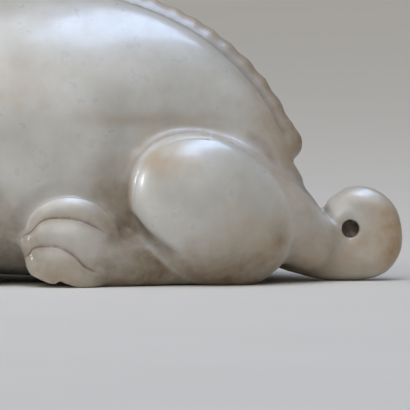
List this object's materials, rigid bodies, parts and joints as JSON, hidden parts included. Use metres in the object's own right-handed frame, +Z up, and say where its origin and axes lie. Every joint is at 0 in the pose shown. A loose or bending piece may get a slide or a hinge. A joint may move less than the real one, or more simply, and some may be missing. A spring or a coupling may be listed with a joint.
{
  "type": "qilin figurine",
  "caption": "Carved jade ornament of a recumbent qilin with an arched, scalloped back, tucked paws and a curled tail with a drilled eye.",
  "frame": {"origin": "on the ground, under the middle of the beast's box", "axes": "+X from head to tail, +Y towards the beast's right side, +Z up"},
  "size_m": [0.1248, 0.0454, 0.0519],
  "materials": {
    "jade": "polished pale nephrite jade with ochre and brown stains in its grooves"
  },
  "bodies": {
    "root": {"qilin": "jade"}
  },
  "joints": []
}
